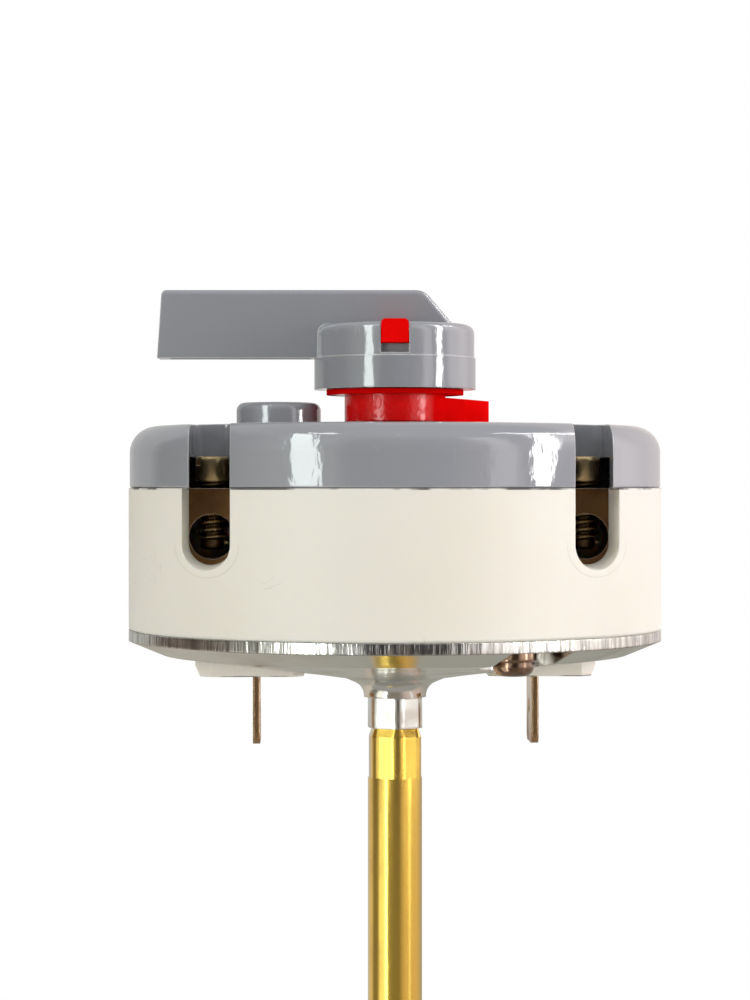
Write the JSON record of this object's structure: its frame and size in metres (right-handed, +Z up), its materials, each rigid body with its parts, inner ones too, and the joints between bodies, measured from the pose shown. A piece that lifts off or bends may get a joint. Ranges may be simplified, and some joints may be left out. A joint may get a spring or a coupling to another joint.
{
  "type": "rod thermostat",
  "caption": "Round rod thermostat for a heating element, with setting knob, brass probe tube, screw terminals, push-on tabs, snap switch and resettable cut-out.",
  "frame": {"origin": "on the probe's axis, at the top of its full round tube, where the crimped part begins", "axes": "+Z up the probe's axis towards the knob, -Y towards the wire slots, +X to the right seen from the wire slots"},
  "size_m": [0.0588, 0.0588, 0.32],
  "materials": {
    "plated_steel": "bright zinc plated, sheared edge",
    "probe_brass": "drawn and polished brass",
    "terminal_brass": "machined brass",
    "tab_brass": "stamped brass",
    "rivet_copper": "copper-coloured rivet",
    "case_plastic": "cream moulding",
    "cover_plastic": "grey glossy moulding",
    "spindle_plastic": "red glossy moulding",
    "ceramic": "plain fired ceramic",
    "invar": "drawn nickel steel",
    "frame_steel": "pressed steel",
    "spring_steel": "spring strip",
    "contact_silver": "silver contact",
    "bimetal": "bimetal sheet",
    "insulator": "brown insulating moulding"
  },
  "bodies": {
    "housing": {"mounting_plate": "plated_steel", "plate_rivet_front": "rivet_copper", "plate_rivet_back": "rivet_copper", "probe_tube": "probe_brass", "tube_end_plug": "probe_brass", "invar_rod": "invar", "push_pin": "ceramic", "case_body": "case_plastic", "case_cover": "cover_plastic", "terminal_block_left": "terminal_brass", "terminal_block_right": "terminal_brass", "terminal_strip_left": "terminal_brass", "terminal_strip_right": "terminal_brass", "tab_left": "tab_brass", "tab_right": "tab_brass", "strip_rivet": "rivet_copper", "blade_carrier": "spring_steel", "carrier_rivet": "rivet_copper", "fixed_contact": "contact_silver", "back_stop": "frame_steel", "bridge": "frame_steel", "bridge_bush": "terminal_brass", "lever_pivot_pin": "frame_steel", "cutout_fixed_contact": "contact_silver", "bimetal_disc": "bimetal", "disc_retainer": "insulator"},
    "knob": {"control_knob": "cover_plastic", "adjusting_spindle": "spindle_plastic", "spindle_clip": "spring_steel"},
    "adjusting_screw": {"adjusting_screw": "frame_steel"},
    "setting_lever": {"setting_lever": "frame_steel", "lever_bead": "ceramic"},
    "contact_arm": {"contact_arm": "spring_steel", "snap_spring": "spring_steel", "moving_contact": "contact_silver"},
    "cutout_pin": {"cutout_pin": "ceramic"},
    "cutout_blade": {"cutout_blade": "spring_steel", "cutout_moving_contact": "contact_silver"},
    "reset_button": {"reset_button": "cover_plastic", "reset_spring": "spring_steel"},
    "terminal_screw_left": {"terminal_screw_left": "terminal_brass"},
    "terminal_screw_right": {"terminal_screw_right": "terminal_brass"}
  },
  "joints": [
    {"name": "knob_turn", "type": "hinge", "parent": "housing", "child": "knob", "pos_m": [0, 0, 0.045], "axis": [0, 0, 1], "range_deg": [-200, 80]},
    {"name": "screw_advance", "type": "slide", "parent": "knob", "child": "adjusting_screw", "axis": [0, 0, 1], "range_m": [-0.0003, 0.00014]},
    {"name": "lever_tilt", "type": "hinge", "parent": "housing", "child": "setting_lever", "pos_m": [0, -0.008, 0.02575], "axis": [1, 0, 0], "range_deg": [-2.1, 1]},
    {"name": "contact_snap", "type": "hinge", "parent": "housing", "child": "contact_arm", "pos_m": [0, 0.0034, 0.0225], "axis": [1, 0, 0], "range_deg": [0, 3.5], "stiffness_Nm_per_rad": 0.002, "springref_deg": -5.73},
    {"name": "cutout_trip", "type": "slide", "parent": "housing", "child": "cutout_pin", "axis": [0, 0, 1], "range_m": [0, 0.0009]},
    {"name": "cutout_blade_lift", "type": "hinge", "parent": "housing", "child": "cutout_blade", "pos_m": [-0.0129, -0.0066, 0.02265], "axis": [1, 0, 0], "range_deg": [0, 2.8]},
    {"name": "reset_press", "type": "slide", "parent": "housing", "child": "reset_button", "axis": [0, 0, 1], "range_m": [-0.0012, 0], "stiffness_N_per_m": 600, "springref_m": 0.0015, "deforming": ["reset_spring"]},
    {"name": "terminal_left_clamp", "type": "slide", "parent": "housing", "child": "terminal_screw_left", "axis": [0, 0, 1], "range_m": [-0.0004, 0.0018]},
    {"name": "terminal_right_clamp", "type": "slide", "parent": "housing", "child": "terminal_screw_right", "axis": [0, 0, 1], "range_m": [-0.0004, 0.0018]}
  ],
  "couplings": [
    {"joint": "screw_advance", "follows": "knob_turn", "m_per_rad": 0.000079577},
    {"joint": "lever_tilt", "follows": "knob_turn", "ratio": 0.0099472},
    {"joint": "cutout_blade_lift", "follows": "cutout_trip", "rad_per_m": 53.763}
  ]
}
